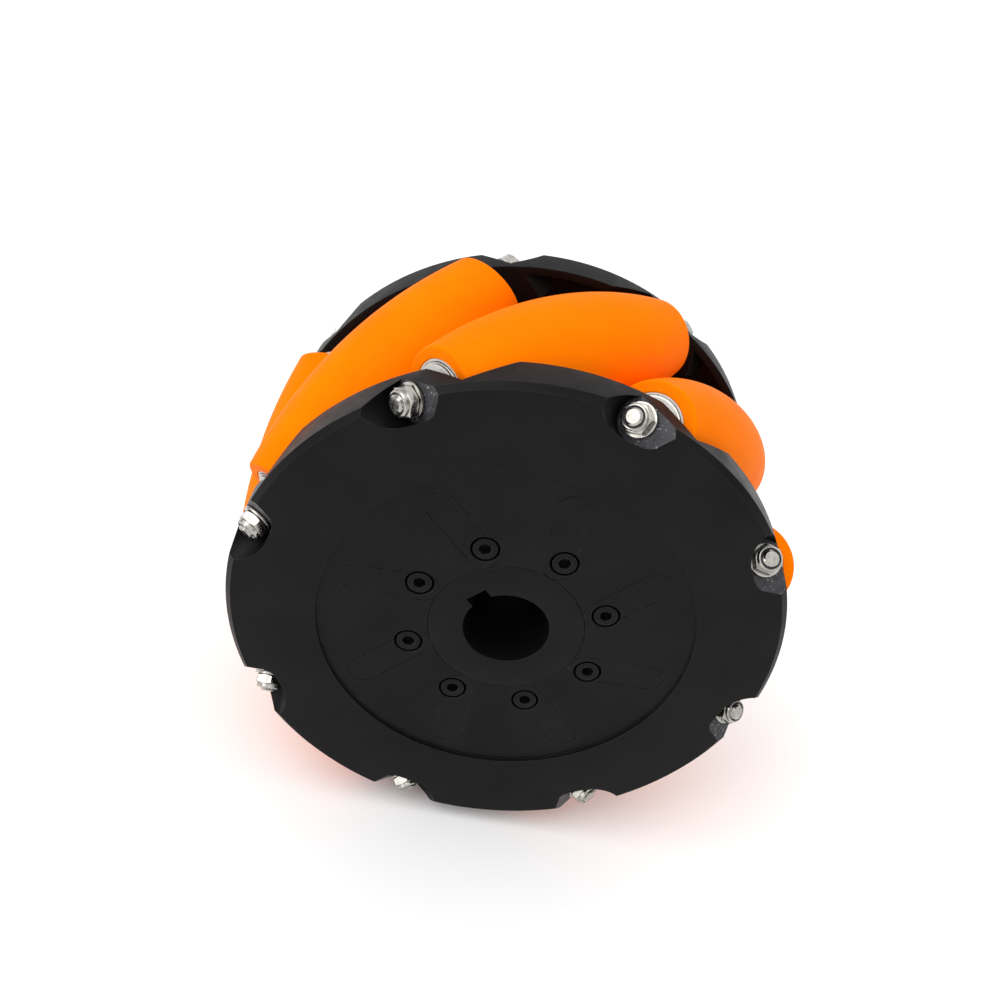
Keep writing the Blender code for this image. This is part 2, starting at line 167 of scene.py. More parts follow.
# Grooves round the filled slots of a side plate
SLOT_TURN = math.radians(-23.9)
SLOT_OFFSET = 0.01248
SLOT_ENDS = (0.0303, 0.0538)
SLOT_WIDTH = 0.011
GROOVE_WIDTH = 0.00032
GROOVE_DEPTH = 0.0004
SLOT_ARC_STEPS = 16

# Axle bolts, lock nuts and washers
AXLE_RADIUS = 0.0029
THREAD_DEPTH = 0.00045
THREAD_PITCH = 0.001
THREAD_LENGTH = 0.009
THREAD_STATIONS = 8
STUD_END = 0.072
STUD_CHAMFER = 0.00045
WASHER_RADIUS = 0.00575
WASHER_START = 0.065
WASHER_END = 0.066
WASHER_EDGE = 0.00018
HEX_ACROSS_FLATS = 0.0092
NUT_HEX_END = 0.0695
NUT_END = 0.0711
NUT_COLLAR_RADIUS = 0.0043
NUT_BORE_RADIUS = 0.0034
INSERT_RADIUS = 0.0036
HEAD_END = 0.0699
HEX_CHAMFER = 0.0005
HEX_TURN = math.radians(1.3)
FASTENER_TURN = math.radians(37)
FASTENER_SEGMENTS = 48

# Hub
HUB_BOSS_RADIUS = 0.02725
BORE_RADIUS = 0.015
KEYWAY_WIDTH = 0.008
KEYWAY_FLOOR = 0.0183
KEYWAY_ANGLE = math.radians(-46)
HUB_FLANGE_RADIUS = 0.044
HUB_FLANGE_OUTER_Y = 0.0427
HUB_FLANGE_INNER_Y = 0.026
HUB_WAIST_RADIUS = 0.031
HUB_SEGMENTS = 128

# Hub screws
SCREW_COUNT = 8
SCREW_CIRCLE_RADIUS = 0.035
SCREW_PHASE = math.radians(21.8)
SCREW_HEAD_RADIUS = 0.00425
SCREW_HEAD_HEIGHT = 0.005
SCREW_HEAD_TOP_Y = 0.0515
SCREW_SHANK_RADIUS = 0.0025
SCREW_END_Y = 0.03
SCREW_HOLE_RADIUS = 0.0031
SCREW_HOLE_END_Y = 0.0285
COUNTERBORE_RADIUS = 0.005
COUNTERBORE_FLOOR_Y = 0.0462
SOCKET_ACROSS_FLATS = 0.004
SOCKET_DEPTH = 0.0028
KNURL_COUNT = 36
KNURL_DEPTH = 0.00012

OVERRUN = 0.002
WELD = 0.000001
SMOOTH_ANGLE = math.radians(32)
ONTO_WHEEL_AXIS = Matrix.Rotation(-math.pi / 2, 4, "X")
HALF_TURN = Matrix.Rotation(math.pi, 4, "Z")
OTHER_END = Matrix.Rotation(math.pi, 4, "X")
HALVINGS = 50


# ---------------------------------------------------------------- frames

def outward(angle):
    return Vector((math.sin(angle), 0, math.cos(angle)))


def roller_frame(joint):
    """The frame of one roller, as the file's heading gives it, from its joint."""
    place = Vector(joint["pos_m"])
    x_axis = place.normalized()
    z_axis = Vector(joint["axis"]).normalized()
    y_axis = z_axis.cross(x_axis)
    matrix = Matrix((x_axis, y_axis, z_axis)).transposed().to_4x4()
    matrix.translation = place
    return matrix


def screw_frame(index):
    """On a hub screw's axis in the wheel's middle plane, with Z towards the outer side."""
    matrix = Matrix.Rotation(math.pi / 2, 4, "X")
    angle = SCREW_PHASE + index * 2 * math.pi / SCREW_COUNT
    matrix.translation = outward(angle) * SCREW_CIRCLE_RADIUS
    return matrix


def slot_frame(index):
    """On the wheel's axis, with X along a slot, Y to its clockwise side and Z towards the inner side."""
    angle = SCREW_PHASE + index * 2 * math.pi / SCREW_COUNT + SLOT_TURN
    x_axis = outward(angle)
    y_axis = Vector((math.cos(angle), 0, -math.sin(angle)))
    return Matrix((x_axis, y_axis, x_axis.cross(y_axis))).transposed().to_4x4()


# ---------------------------------------------------------------- meshes

def rounded(corners, steps=3):
    """A closed outline from (radius, z, cut) corners. Each corner is rounded off over the distance cut."""
    points = []
    for k, (radius, z, cut) in enumerate(corners):
        here = Vector((radius, z))
        if not cut:
            points.append(here)
            continue
        before = Vector(corners[k - 1][:2])
        after = Vector(corners[(k + 1) % len(corners)][:2])
        start = here + (before - here).normalized() * cut
        end = here + (after - here).normalized() * cut
        for step in range(steps + 1):
            t = step / steps
            points.append(start * (1 - t) ** 2 + here * (2 * t * (1 - t)) + end * t * t)
    return points


def turned(name, profile, segments, ring=True, shape=None):
    """A profile of (radius, z) points, from top to bottom, turned about Z. A ring's profile closes on itself.

    shape(radius, angle, z) may change the radius of a point.
    """
    built = bmesh.new()
    angles = [2 * math.pi * k / segments for k in range(segments)]
    rows = []
    for radius, z in profile:
        if radius == 0:
            rows.append([built.verts.new((0, 0, z))] * segments)
            continue
        row = []
        for angle in angles:
            r = shape(radius, angle, z) if shape else radius
            row.append(built.verts.new((r * math.cos(angle), r * math.sin(angle), z)))
        rows.append(row)
    pairs = list(zip(rows, rows[1:]))
    if ring:
        pairs.append((rows[-1], rows[0]))
    for upper, lower in pairs:
        for k in range(segments):
            following = (k + 1) % segments
            corners = dict.fromkeys([upper[k], lower[k], lower[following], upper[following]])
            if len(corners) > 2:
                built.faces.new(list(corners))
    return finished_mesh(name, built)


def finished_mesh(name, built):
    mesh = bpy.data.meshes.new(name)
    built.to_mesh(mesh)
    built.free()
    return mesh


def prism(name, outline, bottom, top):
    """A flat outline of (x, y) points, counter-clockwise, run along Z from bottom to top."""
    built = bmesh.new()
    low = [built.verts.new((x, y, bottom)) for x, y in outline]
    high = [built.verts.new((x, y, top)) for x, y in outline]
    built.faces.new(list(reversed(low)))
    built.faces.new(high)
    for k in range(len(outline)):
        following = (k + 1) % len(outline)
        built.faces.new([low[k], low[following], high[following], high[k]])
    bmesh.ops.recalc_face_normals(built, faces=built.faces)
    return finished_mesh(name, built)


def block(name, low, high):
    outline = [(low[0], low[1]), (high[0], low[1]), (high[0], high[1]), (low[0], high[1])]
    return prism(name, outline, low[2], high[2])


def hexagon(across_flats):
    corner = across_flats / math.sqrt(3)
    angles = [HEX_TURN + k * math.pi / 3 for k in range(6)]
    return [(corner * math.cos(angle), corner * math.sin(angle)) for angle in angles]


def arc(centre, radius, start, end, steps):
    """Points on an arc, both ends included. Angles are in radians, counter-clockwise from +X."""
    angles = [start + (end - start) * step / steps for step in range(steps + 1)]
    return [(centre[0] + radius * math.cos(a), centre[1] + radius * math.sin(a)) for a in angles]


def copies(name, mesh, matrices):
    """One mesh that holds a copy of this one at each matrix."""
    joined = bmesh.new()
    for matrix in matrices:
        copy = mesh.copy()
        copy.transform(matrix)
        joined.from_mesh(copy)
        bpy.data.meshes.remove(copy)
    return finished_mesh(name, joined)


def combined(name, base, steps):
    """The base mesh after a row of exact Booleans, each an operation's name and the other mesh."""
    scratch = bpy.data.collections.new("scratch")
    bpy.context.scene.collection.children.link(scratch)
    mesh = base
    for operation, other in steps:
        obj = bpy.data.objects.new(name, mesh)
        helper = bpy.data.objects.new(other.name, other)
        scratch.objects.link(obj)
        scratch.objects.link(helper)
        modifier = obj.modifiers.new(operation, "BOOLEAN")
        modifier.operation = operation
        modifier.solver = "EXACT"
        modifier.object = helper
        bpy.context.view_layer.update()
        graph = bpy.context.evaluated_depsgraph_get()
        mesh = welded(name, bpy.data.meshes.new_from_object(obj.evaluated_get(graph)))
        bpy.data.objects.remove(obj)
        bpy.data.objects.remove(helper)
    bpy.data.collections.remove(scratch)
    return mesh


def welded(name, mesh):
    """The mesh with the points that a Boolean left almost together made one."""
    built = bmesh.new()
    built.from_mesh(mesh)
    bpy.data.meshes.remove(mesh)
    bmesh.ops.remove_doubles(built, verts=built.verts, dist=WELD)
    bmesh.ops.dissolve_degenerate(built, edges=built.edges, dist=WELD)
    return finished_mesh(name, built)


def piece(name, mesh, material, body, matrix=None, stands_for=(), own=False):
    """Adds a piece that rides on a body, in place of the CAD nodes that it stands for.

    With own, it gets a mesh of its own, moved into place, so that its bounding box is a tight one.
    """
    if own:
        mesh = mesh.copy()
        mesh.transform(matrix)
        matrix = None
    if not mesh.materials:
        for one in material if isinstance(material, (list, tuple)) else [material]:
            mesh.materials.append(one)
        mesh.shade_smooth()
        mesh.set_sharp_from_angle(angle=SMOOTH_ANGLE)
    obj = bpy.data.objects.new(name, mesh)
    bpy.context.scene.collection.objects.link(obj)
    if matrix is not None:
        obj.matrix_world = matrix
    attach(obj, body)
    if stands_for:
        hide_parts(*stands_for)
    return obj


# ---------------------------------------------------------------- rollers

def barrel_point(foot):
    """(radius, z) of the roller's surface, whose normal meets the roller's axis at z = foot.

    The surface touches the wheel's envelope cylinder where a line square to the wheel's axis meets both.
    """
    across = foot * math.sin(SKEW)
    from_wheel_axis = math.hypot(AXLE_CIRCLE_RADIUS, across)
    depth = ENVELOPE_RADIUS - from_wheel_axis
    lean = math.sin(SKEW) * across / from_wheel_axis
    return depth * math.sqrt(1 - lean * lean), foot + depth * lean


def barrel_foot(z):
    """The foot on the roller's axis of the surface point at height z, by halving."""
    low, high = 0.0, ENVELOPE_RADIUS
    for _ in range(HALVINGS):
        middle = (low + high) / 2
        if barrel_point(middle)[1] < abs(z):
            low = middle
        else:
            high = middle
    return math.copysign(low, z)


def barrel_profile(top, bottom, stations, extra=0.0):
    """(radius, z) points down the side of the roller, with some room added to the radius."""
    heights = [top + (bottom - top) * k / (stations - 1) for k in range(stations)]
    return [(barrel_point(barrel_foot(z))[0] + extra, z) for z in heights]


def rounded_end(side):
    """(radius, z) points round a tread's end edge and in to the core. Side is 1 at the top, or -1."""
    edge_z = ROLLER_HALF_LENGTH - ROLLER_EDGE
    radius = barrel_point(barrel_foot(edge_z))[0] - ROLLER_EDGE
    edge = arc((radius, edge_z), ROLLER_EDGE, math.pi / 2, 0, 6)[:-1]
    lip = [(CORE_RADIUS, ROLLER_HALF_LENGTH - EDGE), (CORE_RADIUS + EDGE, ROLLER_HALF_LENGTH)]
    points = lip + edge
    if side < 0:
        points = [(r, -z) for r, z in reversed(points)]
    return points


def tread_mesh():
    edge_z = ROLLER_HALF_LENGTH - ROLLER_EDGE
    side = barrel_profile(edge_z, -edge_z, BARREL_STATIONS)
    return turned("tread", rounded_end(1) + side + rounded_end(-1), BARREL_SEGMENTS)


def core_mesh():
    """The tube inside a tread, with a seat for a bearing at each end."""
    seat_z = ROLLER_HALF_LENGTH - BEARING_SEAT_DEPTH
    end_z = ROLLER_HALF_LENGTH - CORE_SINK
    half = [
        (ROLLER_BORE_RADIUS, seat_z, 0.0),
        (BEARING_SEAT_RADIUS, seat_z, 0.0),
        (BEARING_SEAT_RADIUS, end_z, EDGE),
        (CORE_RADIUS, end_z, EDGE / 2),
    ]
    other = [(radius, -z, cut) for radius, z, cut in reversed(half)]
    return turned("core", rounded(half + other), BARREL_SEGMENTS)


# ---------------------------------------------------------------- bearings and collars, at a roller's top end

def race_mesh(name, inner, outer):
    corners = [
        (inner, BEARING_END, EDGE),
        (outer, BEARING_END, EDGE),
        (outer, BEARING_START, EDGE),
        (inner, BEARING_START, EDGE),
    ]
    return turned(name, rounded(corners), FASTENER_SEGMENTS)


def shield_mesh():
    """The pressed shield that closes the gap between a bearing's two races, with a shallow bead in it."""
    inner, outer = INNER_RACE_RADIUS + EDGE / 2, OUTER_RACE_RADIUS - EDGE / 4
    top = BEARING_END - SHIELD_SINK
    middle = (inner + outer) / 2
    profile = [
        (inner, top),
        (middle - EDGE, top),
        (middle, top - EDGE / 2),
        (middle + EDGE, top),
        (outer, top),
        (outer, BEARING_START + SHIELD_SINK),
        (inner, BEARING_START + SHIELD_SINK),
    ]
    return turned("shield", profile, FASTENER_SEGMENTS)


def collar_mesh():
    """The thrust collar between a roller's end and the ear, with a thin flange over the bearing."""
    low, high = COLLAR_FLANGE
    corners = [
        (SHAFT_FIT_RADIUS, COLLAR_END, EDGE),
        (COLLAR_RADIUS, COLLAR_END, EDGE),
        (COLLAR_RADIUS, high, EDGE),
        (COLLAR_FLANGE_RADIUS, high, EDGE / 2),
        (COLLAR_FLANGE_RADIUS, low, EDGE / 2),
        (SHAFT_FIT_RADIUS, low, EDGE / 2),
    ]
    return turned("collar", rounded(corners), BARREL_SEGMENTS)


# ---------------------------------------------------------------- axle bolts, nuts and washers

def axle_thread(radius, angle, z):
    """Cuts a screw thread into the last stretch of an axle bolt."""
    along = z + STUD_END
    if along > THREAD_LENGTH or radius < AXLE_RADIUS:
        return radius
    turns = z / THREAD_PITCH - angle / (2 * math.pi)
    ramp = abs(turns % 1 * 2 - 1)
    cut = min(max(ramp * 1.5 - 0.25, 0), 1)
    fade = min(1, (THREAD_LENGTH - along) / THREAD_PITCH)
    return radius - THREAD_DEPTH * cut * fade


def hex_blank(bottom, top, chamfer_bottom):
    """A turned blank that gives a hexagon its conical chamfers."""
    corner = HEX_ACROSS_FLATS / math.sqrt(3)
    low = HEX_CHAMFER if chamfer_bottom else 0
    profile = [(0, top), (corner - 2 * HEX_CHAMFER, top), (corner + EDGE, top - HEX_CHAMFER - EDGE)]
    profile += [(corner + EDGE, bottom + low + EDGE), (corner - 2 * low, bottom), (0, bottom)]
    return turned("hex_blank", profile, 2 * FASTENER_SEGMENTS, ring=False)


def bolt_mesh():
    """A bolt with its hex head at the +Z end and its thread at the -Z end."""
    head = combined(
        "head",
        hex_blank(WASHER_END + EDGE, HEAD_END, False),
        [("INTERSECT", prism("hex", hexagon(HEX_ACROSS_FLATS), WASHER_END, HEAD_END + EDGE))],
    )
    stations = int(THREAD_LENGTH / THREAD_PITCH * THREAD_STATIONS)
    step = THREAD_LENGTH / stations
    thread = [(AXLE_RADIUS, -STUD_END + STUD_CHAMFER + step * k) for k in range(stations, -1, -1)]
    collar = HEX_ACROSS_FLATS / 2 - EDGE
    profile = [(0, WASHER_END + 2 * EDGE), (collar, WASHER_END + 2 * EDGE), (collar, WASHER_END)]
    profile += [(AXLE_RADIUS, WASHER_END)] + thread
    profile += [(AXLE_RADIUS - STUD_CHAMFER - THREAD_DEPTH / 2, -STUD_END), (0, -STUD_END)]
    shank = turned("shank", profile, FASTENER_SEGMENTS, ring=False, shape=axle_thread)
    return combined("bolt", shank, [("UNION", head)])


def washer_mesh(side):
    corners = [
        (SHAFT_FIT_RADIUS, WASHER_END, WASHER_EDGE),
        (WASHER_RADIUS, WASHER_END, WASHER_EDGE),
        (WASHER_RADIUS, WASHER_START, WASHER_EDGE),
        (SHAFT_FIT_RADIUS, WASHER_START, WASHER_EDGE),
    ]
    mesh = turned("washer", rounded(corners), 2 * FASTENER_SEGMENTS)
    if side == OUTER_SIDE:
        mesh.transform(OTHER_END)
    return mesh


def nut_mesh():
    """A lock nut at the -Z end: a hexagon, and above it a round collar crimped over the insert."""
    start = WASHER_END + EDGE / 10
    hexed = combined(
        "hexed",
        hex_blank(start, NUT_HEX_END, True),
        [("INTERSECT", prism("hex", hexagon(HEX_ACROSS_FLATS), start - EDGE, NUT_HEX_END + EDGE))],
    )
    collar = turned(
        "crimp",
        [
            (0, NUT_END),
            (NUT_COLLAR_RADIUS - 3 * EDGE, NUT_END),
            (NUT_COLLAR_RADIUS - EDGE, NUT_END - EDGE / 2),
            (NUT_COLLAR_RADIUS, NUT_END - 2 * EDGE),
            (NUT_COLLAR_RADIUS, NUT_HEX_END - EDGE),
            (0, NUT_HEX_END - EDGE),
        ],
        FASTENER_SEGMENTS,
        ring=False,
    )
    hole = turned(
        "hole",
        [
            (0, NUT_END + OVERRUN),
            (INSERT_RADIUS, NUT_END + OVERRUN),
            (INSERT_RADIUS, NUT_END - EDGE),
            (NUT_BORE_RADIUS, NUT_END - 2 * EDGE),
            (NUT_BORE_RADIUS, start - OVERRUN),
            (0, start - OVERRUN),
        ],
        FASTENER_SEGMENTS,
        ring=False,
    )
    mesh = combined("nut", hexed, [("UNION", collar), ("DIFFERENCE", hole)])
    mesh.transform(OTHER_END)
    return mesh


def insert_mesh():
    """The locking ring inside a nut's collar, close round the thread."""
    corners = [
        (AXLE_RADIUS, NUT_END - EDGE, EDGE / 2),
        (NUT_BORE_RADIUS - EDGE / 10, NUT_END - 2 * EDGE, 0.0),
        (NUT_BORE_RADIUS - EDGE / 10, NUT_HEX_END, 0.0),
        (AXLE_RADIUS, NUT_HEX_END, 0.0),
    ]
    mesh = turned("insert", rounded(corners), FASTENER_SEGMENTS)
    mesh.transform(OTHER_END)
    return mesh


# ---------------------------------------------------------------- hub and its screws

def knurl(radius, angle, z):
    """Cuts fine ridges into the side of a screw's head."""
    on_side = SCREW_HEAD_TOP_Y - SCREW_HEAD_HEIGHT < z < SCREW_HEAD_TOP_Y - EDGE
    if radius < SCREW_HEAD_RADIUS or not on_side:
        return radius
    return radius - KNURL_DEPTH * (1 + math.cos(KNURL_COUNT * angle)) / 2


def screw_mesh():
    """A socket head screw in its own frame, with the head up."""
    low = SCREW_HEAD_TOP_Y - SCREW_HEAD_HEIGHT
    profile = [
        (0, SCREW_HEAD_TOP_Y),
        (SCREW_HEAD_RADIUS - 2 * EDGE, SCREW_HEAD_TOP_Y),
        (SCREW_HEAD_RADIUS - EDGE / 2, SCREW_HEAD_TOP_Y - EDGE / 2),
        (SCREW_HEAD_RADIUS, SCREW_HEAD_TOP_Y - 2 * EDGE),
        (SCREW_HEAD_RADIUS, low + EDGE),
        (SCREW_HEAD_RADIUS - EDGE, low),
        (SCREW_SHANK_RADIUS, low),
        (SCREW_SHANK_RADIUS, SCREW_END_Y + EDGE),
        (SCREW_SHANK_RADIUS - EDGE, SCREW_END_Y),
        (0, SCREW_END_Y),
    ]
    blank = turned("screw", profile, 4 * KNURL_COUNT, ring=False, shape=knurl)
    floor = SCREW_HEAD_TOP_Y - SOCKET_DEPTH
    socket = prism("socket", hexagon(SOCKET_ACROSS_FLATS), floor, SCREW_HEAD_TOP_Y + OVERRUN)
    flat = SOCKET_ACROSS_FLATS / 2
    mouth = turned(
        "mouth",
        [
            (0, SCREW_HEAD_TOP_Y + EDGE),
            (flat + 2.5 * EDGE, SCREW_HEAD_TOP_Y + EDGE),
            (flat, SCREW_HEAD_TOP_Y - EDGE),
            (0, SCREW_HEAD_TOP_Y - EDGE),
        ],
        FASTENER_SEGMENTS,
        ring=False,
    )
    return combined("screw", blank, [("DIFFERENCE", socket), ("DIFFERENCE", mouth)])


def hub_mesh():
    upper = [
        (BORE_RADIUS, RECESS_Y, 2 * EDGE),
        (HUB_BOSS_RADIUS, RECESS_Y, EDGE),
        (HUB_BOSS_RADIUS, HUB_FLANGE_OUTER_Y, 0.0),
        (HUB_FLANGE_RADIUS, HUB_FLANGE_OUTER_Y, 2 * EDGE),
        (HUB_FLANGE_RADIUS, HUB_FLANGE_INNER_Y, 2 * EDGE),
        (HUB_WAIST_RADIUS, HUB_FLANGE_INNER_Y, 5 * EDGE),
    ]
    lower = [(radius, -z, cut) for radius, z, cut in reversed(upper)]
    blank = turned("hub", rounded(upper + lower), HUB_SEGMENTS)
    blank.transform(ONTO_WHEEL_AXIS)

    low = (-KEYWAY_WIDTH / 2, -RECESS_Y - OVERRUN, BORE_RADIUS / 2)
    high = (KEYWAY_WIDTH / 2, RECESS_Y + OVERRUN, KEYWAY_FLOOR)
    keyway = block("keyway", low, high)
    keyway.transform(Matrix.Rotation(KEYWAY_ANGLE, 4, "Y"))

    hole = turned(
        "screw_hole",
        [
            (0, HUB_FLANGE_OUTER_Y + OVERRUN),
            (SCREW_HOLE_RADIUS, HUB_FLANGE_OUTER_Y + OVERRUN),
            (SCREW_HOLE_RADIUS, SCREW_HOLE_END_Y),
            (0, SCREW_HOLE_END_Y),
        ],
        FASTENER_SEGMENTS // 2,
        ring=False,
    )
    outer = [screw_frame(k) for k in range(SCREW_COUNT)]
    inner = [HALF_TURN @ matrix for matrix in outer]
    holes = copies("screw_holes", hole, outer + inner)
    return combined("hub", blank, [("DIFFERENCE", keyway), ("DIFFERENCE", holes)])


# ---------------------------------------------------------------- side plates

def plate_blank():
    """The side plate as turned: a web with a recess on its outer face and a thin rim on its inner one."""
    corners = [
        (PLATE_BORE_RADIUS, -RECESS_Y, EDGE),
        (PLATE_BORE_RADIUS, -HUB_PAD_Y, 0.0),
        (HUB_PAD_RADIUS, -HUB_PAD_Y, EDGE),
        (HUB_PAD_RADIUS, -WEB_INNER_Y, 0.0),
        (RIM_RADIUS - RIM_WALL, -WEB_INNER_Y, 4 * EDGE),
        (RIM_RADIUS - RIM_WALL, -RIM_INNER_Y, EDGE),
        (RIM_RADIUS, -RIM_INNER_Y, EDGE),
        (RIM_RADIUS, -FACE_Y + RIM_CHAMFER, 0.0),
        (RIM_RADIUS - RIM_CHAMFER, -FACE_Y, 0.0),
        (RECESS_RADIUS, -FACE_Y, EDGE),
        (RECESS_RADIUS, -RECESS_Y, EDGE / 2),
    ]
    mesh = turned("plate", rounded(corners), PLATE_SEGMENTS)
    mesh.transform(ONTO_WHEEL_AXIS)
    return mesh


def ears_mesh(frames):
    """The eight solid ears that carry the axles, trimmed to lie between the web and the rim."""
    low = (EAR_HEIGHT[0], EAR_SIDE[0], -EAR_BLOCK[1])
    high = (EAR_HEIGHT[1], EAR_SIDE[1], -EAR_BLOCK[0])
    blocks = copies("ears", block("ear", low, high), frames)
    inner, outer = EAR_RING_RADIUS
    web_middle = -(WEB_INNER_Y + FACE_Y) / 2
    corners = [(outer, -EAR_TOP_Y), (outer, web_middle), (inner, web_middle), (inner, -EAR_TOP_Y)]
    ring = turned("ear_ring", corners, PLATE_SEGMENTS)
    ring.transform(ONTO_WHEEL_AXIS)
    return combined("ears", blocks, [("INTERSECT", ring)])


def room_mesh():
    """The end of the room that a plate leaves round a roller, with the ear's inner face at its end."""
    side = barrel_profile(-ROOM_START, -EAR_INNER, ROOM_STATIONS, ROLLER_CLEARANCE)
    mesh = turned("room", [(0, -ROOM_START), *side, (0, -EAR_INNER)], ROOM_SEGMENTS, ring=False)
    stretch = Matrix.Diagonal((CLEARANCE_STRETCH, 1, 1, 1))
    mesh.transform(Matrix.Translation((CLEARANCE_SHIFT, 0, 0)) @ stretch)
    return mesh


def pocket_mesh():
    """The pocket for a nut or a bolt's head: round about the axle, drawn out sideways, open at the rim."""
    lean = math.atan2(POCKET_SHIFT.y, POCKET_SHIFT.x)
    start = -math.asin(POCKET_NEAR_WALL / POCKET_RADIUS)
    middle = lean - 3 * math.pi / 2
    # Down the near wall, round the axle, round the shifted centre and up the far wall.
    outline = [(POCKET_REACH, -POCKET_NEAR_WALL)]
    outline += arc((0, 0), POCKET_RADIUS, start, middle, POCKET_ARC_STEPS[0])
    outline += arc(POCKET_SHIFT, POCKET_RADIUS, middle, -3 * math.pi / 2, POCKET_ARC_STEPS[1])
    outline += [(POCKET_REACH, POCKET_SHIFT.y + POCKET_RADIUS)]
    return prism("pocket", outline, -POCKET_END, -POCKET_FLOOR)


def axle_hole_mesh():
    inner, outer = -EAR_INNER + OVERRUN, -POCKET_FLOOR - OVERRUN
    profile = [(0, inner), (AXLE_HOLE_RADIUS, inner), (AXLE_HOLE_RADIUS, outer), (0, outer)]
    return turned("axle_hole", profile, FASTENER_SEGMENTS, ring=False)


def screw_bore_mesh():
    """A counterbored hole with a small chamfer at its mouth, in the screw's frame."""
    profile = [
        (0, RECESS_Y + OVERRUN),
        (COUNTERBORE_RADIUS + EDGE, RECESS_Y + OVERRUN),
        (COUNTERBORE_RADIUS + EDGE, RECESS_Y),
        (COUNTERBORE_RADIUS, RECESS_Y - EDGE),
        (COUNTERBORE_RADIUS, COUNTERBORE_FLOOR_Y),
        (SCREW_HOLE_RADIUS, COUNTERBORE_FLOOR_Y),
        (SCREW_HOLE_RADIUS, HUB_PAD_Y - OVERRUN),
        (0, HUB_PAD_Y - OVERRUN),
    ]
    return turned("screw_bore", profile, FASTENER_SEGMENTS, ring=False)


def slot_outline(width):
    near, far = SLOT_ENDS
    half = math.pi / 2
    outline = arc((far, SLOT_OFFSET), width / 2, -half, half, SLOT_ARC_STEPS)
    outline += arc((near, SLOT_OFFSET), width / 2, half, 3 * half, SLOT_ARC_STEPS)
    return outline


def groove_mesh():
    """The fine groove round one filled slot, as a ring to cut away."""
    bottom, top = -RECESS_Y - OVERRUN, -RECESS_Y + GROOVE_DEPTH
    outside = prism("groove", slot_outline(SLOT_WIDTH), bottom, top)
    inside = prism("groove_middle", slot_outline(SLOT_WIDTH - 2 * GROOVE_WIDTH), bottom - EDGE, top + EDGE)
    return combined("groove", outside, [("DIFFERENCE", inside)])


def plate_mesh():
    """The outer side plate. Turned half round about a roller's own radius, it is the inner one."""
    rollers = [roller_frame(joint) for joint in ROLLERS]
    screws = [screw_frame(k) for k in range(SCREW_COUNT)]
    slots = [slot_frame(k) for k in range(SCREW_COUNT)]
    steps = [
        ("DIFFERENCE", copies("screw_bores", screw_bore_mesh(), screws)),
        ("UNION", ears_mesh(rollers)),
        ("DIFFERENCE", copies("rooms", room_mesh(), rollers)),
        ("DIFFERENCE", copies("pockets", pocket_mesh(), rollers)),
        ("DIFFERENCE", copies("axle_holes", axle_hole_mesh(), rollers)),
        ("DIFFERENCE", copies("grooves", groove_mesh(), slots)),
    ]
    return combined("plate", plate_blank(), steps)


def marked_floors(mesh):
    """Gives the pocket floors the plate's second material."""
    for joint in ROLLERS:
        into_roller = roller_frame(joint).inverted()
        turn = into_roller.to_3x3()
        for face in mesh.polygons:
            on_floor = abs((into_roller @ face.center).z + POCKET_FLOOR) < WELD * 10
            if on_floor and (turn @ face.normal).z < -0.99:
                face.material_index = 1


# ---------------------------------------------------------------- materials

def new_material(name):
    material = bpy.data.materials.new(name)
    material.use_nodes = True
    tree = material.node_tree
    return material, tree, tree.nodes["Principled BSDF"]


def noise(tree, size, detail=3.0):
    """Noise over the piece's own coordinates, with features of about the given size in metres."""
    coordinates = tree.nodes.new("ShaderNodeTexCoord")
    texture = tree.nodes.new("ShaderNodeTexNoise")
    texture.inputs["Scale"].default_value = 1 / size
    texture.inputs["Detail"].default_value = detail
    tree.links.new(coordinates.outputs["Object"], texture.inputs["Vector"])
    return texture.outputs["Fac"]


def rings(tree, pitch):
    """Fine rings about the wheel's axis, like tool marks from a lathe."""
    coordinates = tree.nodes.new("ShaderNodeTexCoord")
    texture = tree.nodes.new("ShaderNodeTexWave")
    texture.wave_type = "RINGS"
    texture.rings_direction = "Y"
    texture.inputs["Scale"].default_value = 0.314 / pitch
    texture.inputs["Distortion"].default_value = 0.4
    tree.links.new(coordinates.outputs["Object"], texture.inputs["Vector"])
    return texture.outputs["Fac"]


def spread(tree, value, low, high, start=0.3, end=0.7):
    """The value run from low to high as it goes from start to end."""
    node = tree.nodes.new("ShaderNodeMapRange")
    node.inputs["From Min"].default_value = start
    node.inputs["From Max"].default_value = end
    node.inputs["To Min"].default_value = low
    node.inputs["To Max"].default_value = high
    tree.links.new(value, node.inputs["Value"])
    return node.outputs["Result"]


def between(tree, factor, low, high):
    """A colour between two colours, or between two sockets."""
    node = tree.nodes.new("ShaderNodeMix")
    node.data_type = "RGBA"
    tree.links.new(factor, node.inputs["Factor"])
    for name, colour in (("A", low), ("B", high)):
        socket = [s for s in node.inputs if s.name == name and s.type == "RGBA"][0]
        if isinstance(colour, tuple):
            socket.default_value = (*colour, 1.0)
        else:
            tree.links.new(colour, socket)
    return [s for s in node.outputs if s.type == "RGBA"][0]


def product(tree, first, second):
    node = tree.nodes.new("ShaderNodeMath")
    node.operation = "MULTIPLY"
    tree.links.new(first, node.inputs[0])
    tree.links.new(second, node.inputs[1])
    return node.outputs[0]


def bumped(tree, shader, *layers):
    """Bump layers, each a height and its depth in metres, on top of each other."""
    normal = None
    for height, depth in layers:
        node = tree.nodes.new("ShaderNodeBump")
        node.inputs["Distance"].default_value = depth
        tree.links.new(height, node.inputs["Height"])
        if normal is not None:
            tree.links.new(normal, node.inputs["Normal"])
        normal = node.outputs["Normal"]
    tree.links.new(normal, shader.inputs["Normal"])


